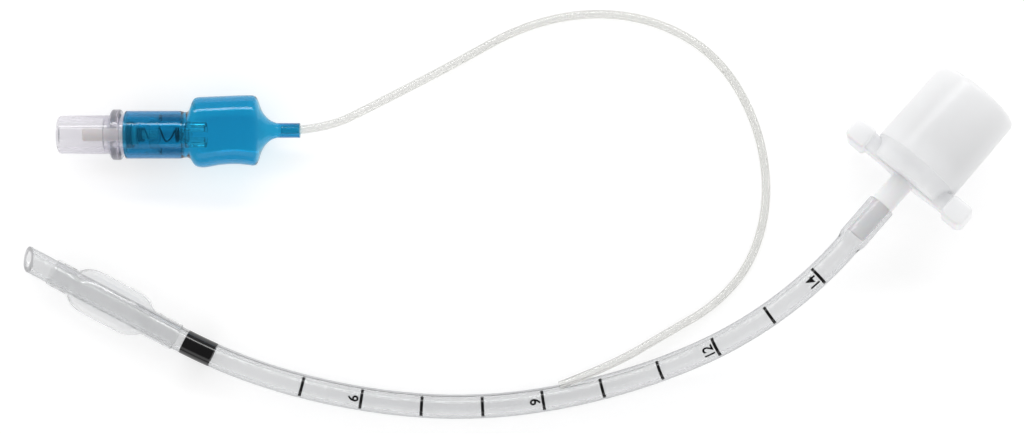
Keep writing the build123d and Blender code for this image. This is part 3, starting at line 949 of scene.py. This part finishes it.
# Materials
def new_material(name):
    material = bpy.data.materials.new(name)
    material.use_nodes = True
    tree = material.node_tree
    return material, tree, tree.nodes["Principled BSDF"], tree.nodes["Material Output"]


def noise_node(tree, scale, detail=3.0, coordinates="Object", stretch=(1, 1, 1)):
    source = tree.nodes.new("ShaderNodeTexCoord")
    mapping = tree.nodes.new("ShaderNodeMapping")
    mapping.inputs["Scale"].default_value = stretch
    texture = tree.nodes.new("ShaderNodeTexNoise")
    texture.inputs["Scale"].default_value = scale
    texture.inputs["Detail"].default_value = detail
    tree.links.new(source.outputs[coordinates], mapping.inputs["Vector"])
    tree.links.new(mapping.outputs["Vector"], texture.inputs["Vector"])
    return texture


def bump(tree, shader, texture, strength, distance):
    node = tree.nodes.new("ShaderNodeBump")
    node.inputs["Strength"].default_value = strength
    node.inputs["Distance"].default_value = distance * MM
    tree.links.new(texture.outputs["Fac"], node.inputs["Height"])
    tree.links.new(node.outputs["Normal"], shader.inputs["Normal"])


def ramp(tree, texture, low, high, shader, socket):
    node = tree.nodes.new("ShaderNodeMapRange")
    node.inputs["To Min"].default_value = low
    node.inputs["To Max"].default_value = high
    tree.links.new(texture.outputs["Fac"], node.inputs["Value"])
    tree.links.new(node.outputs["Result"], shader.inputs[socket])


def clear(name, loss, shadow, roughness, ior, transmission=1.0, tint=(1, 1, 1), texture=None):
    """Clear plastic that light also passes on its way to what lies under it.
    loss is what it takes from red, green and blue light for each millimetre; texture is a noise's
    scale, stretch and coordinates, and the strength and height of its bump."""
    material, tree, shader, output = new_material(name)
    shader.inputs["Base Color"].default_value = (*tint, 1)
    most = max(loss) * 1.25
    absorption = tree.nodes.new("ShaderNodeVolumeAbsorption")
    absorption.inputs["Density"].default_value = most / MM
    absorption.inputs["Color"].default_value = (*(1 - part / most for part in loss), 1)
    tree.links.new(absorption.outputs["Volume"], output.inputs["Volume"])
    shader.inputs["Transmission Weight"].default_value = transmission
    shader.inputs["IOR"].default_value = ior
    shader.inputs["Roughness"].default_value = roughness
    through = tree.nodes.new("ShaderNodeBsdfTransparent")
    through.inputs["Color"].default_value = (*shadow, 1)
    path = tree.nodes.new("ShaderNodeLightPath")
    mix = tree.nodes.new("ShaderNodeMixShader")
    passing = tree.nodes.new("ShaderNodeMath")
    passing.operation = "MAXIMUM"
    tree.links.new(path.outputs["Is Shadow Ray"], passing.inputs[0])
    tree.links.new(path.outputs["Is Diffuse Ray"], passing.inputs[1])
    tree.links.new(passing.outputs["Value"], mix.inputs["Fac"])
    tree.links.new(shader.outputs["BSDF"], mix.inputs[1])
    tree.links.new(through.outputs["BSDF"], mix.inputs[2])
    tree.links.new(mix.outputs["Shader"], output.inputs["Surface"])
    if texture:
        scale, stretch, coordinates, strength, distance = texture
        grain = noise_node(tree, scale, 3, coordinates, stretch)
        bump(tree, shader, grain, strength, distance)
        ramp(tree, grain, roughness * 0.5, roughness * 1.6, shader, "Roughness")
    return material


VINYL_LOSS = (0.17, 0.165, 0.158)
VINYL_SHADOW = (0.96, 0.96, 0.962)
tube_material = clear(
    "clear_tube", VINYL_LOSS, VINYL_SHADOW, 0.05, 1.45, 0.94,
    texture=(1.0, (14, 0.02, 1), "UV", 0.12, 0.02),
)
cut_material = clear("cut_face", VINYL_LOSS, VINYL_SHADOW, 0.45, 1.45, 0.55, (0.86, 0.86, 0.87))
film_material = clear(
    "clear_film", (0.32, 0.31, 0.3), (0.98, 0.98, 0.98), 0.06, 1.4, 0.95,
    texture=(900, (1, 1, 1), "Object", 0.15, 0.02),
)
line_material = clear(
    "clear_line", (0.24, 0.24, 0.27), (0.96, 0.96, 0.955), 0.06, 1.45, 0.8,
    texture=(1.0, (8, 0.03, 1), "UV", 0.08, 0.02),
)
port_material = clear(
    "clear_port", (0.1, 0.11, 0.085), (0.96, 0.96, 0.965), 0.04, 1.49, 0.84,
    texture=(700, (1, 1, 1), "Object", 0.1, 0.01),
)
cage_material = clear(
    "clear_cage", (0.06, 0.055, 0.05), (0.96, 0.96, 0.965), 0.04, 1.49, 0.95,
    texture=(900, (1, 1, 1), "Object", 0.1, 0.01),
)
balloon_material = clear(
    "blue_balloon", (3.2, 0.85, 0.4), (0.97, 0.97, 0.97), 0.05, 1.42, 1.0, (0.36, 0.8, 0.9),
    texture=(500, (1, 1, 1), "Object", 0.15, 0.03),
)

connector_material, tree, shader, _ = new_material("milky_connector")
shader.inputs["Base Color"].default_value = (0.815, 0.82, 0.832, 1)
shader.inputs["Roughness"].default_value = 0.3
shader.inputs["IOR"].default_value = 1.5
shader.inputs["Subsurface Weight"].default_value = 1.0
shader.inputs["Subsurface Radius"].default_value = (1, 1, 1)
shader.inputs["Subsurface Scale"].default_value = 0.005
bump(tree, shader, noise_node(tree, 700, 4), 0.1, 0.02)

# Painted light: the neck and spigot get a paler copy of the milky plastic, brighter to cancel the shade
# they sit in under the hub and inside the tube.
neck_painted_light_material, tree, shader, _ = new_material("milky_neck_painted_light")
shader.inputs["Base Color"].default_value = (0.9, 0.9, 0.91, 1)
shader.inputs["Roughness"].default_value = 0.3
shader.inputs["Subsurface Weight"].default_value = 0.3
shader.inputs["Subsurface Scale"].default_value = 0.0005
bump(tree, shader, noise_node(tree, 700, 4), 0.1, 0.02)

ink_material, tree, shader, _ = new_material("black_ink")
shader.inputs["Roughness"].default_value = 0.12
shader.inputs["IOR"].default_value = 1.6
speckle = noise_node(tree, 2500, 2)
colour = tree.nodes.new("ShaderNodeValToRGB")
colour.color_ramp.elements[0].color = (0.004, 0.004, 0.005, 1)
colour.color_ramp.elements[1].color = (0.009, 0.0085, 0.009, 1)
tree.links.new(speckle.outputs["Fac"], colour.inputs["Fac"])
tree.links.new(colour.outputs["Color"], shader.inputs["Base Color"])
bump(tree, shader, speckle, 0.1, 0.01)

plunger_material, tree, shader, _ = new_material("ivory_plunger")
shader.inputs["Base Color"].default_value = (0.72, 0.69, 0.64, 1)
shader.inputs["Subsurface Weight"].default_value = 0.3
shader.inputs["Subsurface Scale"].default_value = 0.001
ramp(tree, noise_node(tree, 900, 4), 0.35, 0.5, shader, "Roughness")

rubber_material, tree, shader, _ = new_material("black_rubber")
shader.inputs["Base Color"].default_value = (0.012, 0.012, 0.014, 1)
ramp(tree, noise_node(tree, 1500, 4), 0.45, 0.65, shader, "Roughness")

steel_material, tree, shader, _ = new_material("spring_steel")
shader.inputs["Base Color"].default_value = (0.07, 0.07, 0.075, 1)
shader.inputs["Metallic"].default_value = 0.8
ramp(tree, noise_node(tree, 3000, 2), 0.25, 0.4, shader, "Roughness")


def dress(obj, material, body="tube", stands_for=()):
    obj.data.materials.clear()
    obj.data.materials.append(material)
    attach(obj, body)
    if stands_for:
        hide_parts(*stands_for)


def repaint(node, material):
    nodes[node].data.materials.clear()
    nodes[node].data.materials.append(material)
    smooth(nodes[node])


dress(tube, tube_material, stands_for=["tube_shaft"])
tube.data.materials.append(cut_material)
for face in tube.data.polygons:
    reach = face.center / MM - TIP
    if abs(reach.dot(bevel_normal)) < BEVEL_FACE_DEPTH and reach.length < TIP_REACH:
        face.material_index = 1
dress(cuff, film_material, stands_for=["cuff"])
dress(ink[0], ink_material, stands_for=["printed_marks"])
for piece in (*ink[1:], *numbers):
    dress(piece, ink_material)
dress(connector, connector_material, stands_for=["connector"])
# The neck's and spigot's faces take the paler copy, painted light against their shade.
connector.data.materials.append(neck_painted_light_material)
for face in connector.data.polygons:
    if (face.center / MM - tube_end).dot(end_direction) < NECK_LENGTH - 0.1:
        face.material_index = 1
dress(pilot_line, line_material, stands_for=["inflation_line"])
dress(balloon, balloon_material, stands_for=["pilot_balloon"])
dress(port, port_material, stands_for=["luer_port"])
dress(cage, cage_material, stands_for=["valve_cage"])
repaint("valve_plunger", plunger_material)
repaint("valve_seal", rubber_material)
repaint("valve_spring", steel_material)
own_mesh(nodes["valve_spring"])


# Floor and light
def stage_plane(name, size, material):
    mesh = bpy.data.meshes.new(name)
    half = size / 2
    corners = [(-half, -half, 0), (half, -half, 0), (half, half, 0), (-half, half, 0)]
    mesh.from_pydata(corners, [], [(0, 1, 2, 3)])
    obj = bpy.data.objects.new(name, mesh)
    obj.data.materials.append(material)
    scene.collection.objects.link(obj)
    return obj


def seen_ray(tree):
    """1 for camera, glossy and transmission rays, 0 for the rest."""
    path = tree.nodes.new("ShaderNodeLightPath")
    total = path.outputs["Is Camera Ray"]
    for name in ("Is Glossy Ray", "Is Transmission Ray"):
        node = tree.nodes.new("ShaderNodeMath")
        node.operation = "ADD"
        node.use_clamp = True
        tree.links.new(total, node.inputs[0])
        tree.links.new(path.outputs[name], node.inputs[1])
        total = node.outputs["Value"]
    return total


floor_material, tree, shader, output = new_material("floor")
shader.inputs["Roughness"].default_value = 0.9
shader.inputs["Specular IOR Level"].default_value = 0.0
glow = tree.nodes.new("ShaderNodeEmission")
place_node = tree.nodes.new("ShaderNodeTexCoord")
reach = tree.nodes.new("ShaderNodeVectorMath")
reach.operation = "LENGTH"
tree.links.new(place_node.outputs["Object"], reach.inputs[0])
# Painted pool of light: the floor's glow and colour fall from their near to their far values with distance
# from the object.
for target, ends in ((glow.inputs["Strength"], PAINTED_POOL_GLOW), (shader.inputs["Base Color"], PAINTED_POOL_TONE)):
    fall = tree.nodes.new("ShaderNodeMapRange")
    fall.interpolation_type = "SMOOTHSTEP"
    fall.inputs["From Min"].default_value, fall.inputs["From Max"].default_value = PAINTED_POOL_FADE
    fall.inputs["To Min"].default_value, fall.inputs["To Max"].default_value = ends
    tree.links.new(reach.outputs["Value"], fall.inputs["Value"])
    tree.links.new(fall.outputs["Result"], target)
total = tree.nodes.new("ShaderNodeAddShader")
tree.links.new(shader.outputs["BSDF"], total.inputs[0])
tree.links.new(glow.outputs["Emission"], total.inputs[1])
tree.links.new(total.outputs["Shader"], output.inputs["Surface"])
floor = stage_plane("floor", FLOOR_SIZE, floor_material)
floor.location.z = -FLOOR_DROP

world = bpy.data.worlds.new("studio")
world.use_nodes = True
scene.world = world
background = world.node_tree.nodes["Background"]
background.inputs["Color"].default_value = (1, 1, 1, 1)
tree = world.node_tree
direction_node = tree.nodes.new("ShaderNodeTexCoord")
parts = tree.nodes.new("ShaderNodeSeparateXYZ")
tree.links.new(direction_node.outputs["Generated"], parts.inputs["Vector"])
sky = tree.nodes.new("ShaderNodeMapRange")
sky.inputs["From Min"].default_value, sky.inputs["From Max"].default_value = SKY_BAND
sky.inputs["To Min"].default_value = HORIZON
sky.inputs["To Max"].default_value = ZENITH
tree.links.new(parts.outputs["Z"], sky.inputs["Value"])
level = tree.nodes.new("ShaderNodeMix")
level.inputs["A"].default_value = AMBIENT
tree.links.new(seen_ray(tree), level.inputs["Factor"])
tree.links.new(sky.outputs["Result"], level.inputs["B"])
tree.links.new(level.outputs["Result"], background.inputs["Strength"])


def softbox(name, place, size, power):
    data = bpy.data.lights.new(name, "AREA")
    data.shape = "RECTANGLE"
    data.size, data.size_y = size
    data.energy = power
    obj = bpy.data.objects.new(name, data)
    obj.location = place
    aim = Vector(LIGHT_TARGET) - Vector(place)
    obj.rotation_euler = aim.to_track_quat("-Z", "Y").to_euler()
    scene.collection.objects.link(obj)


for light in SOFTBOXES:
    softbox(*light)

scene.view_settings.view_transform = "Standard"
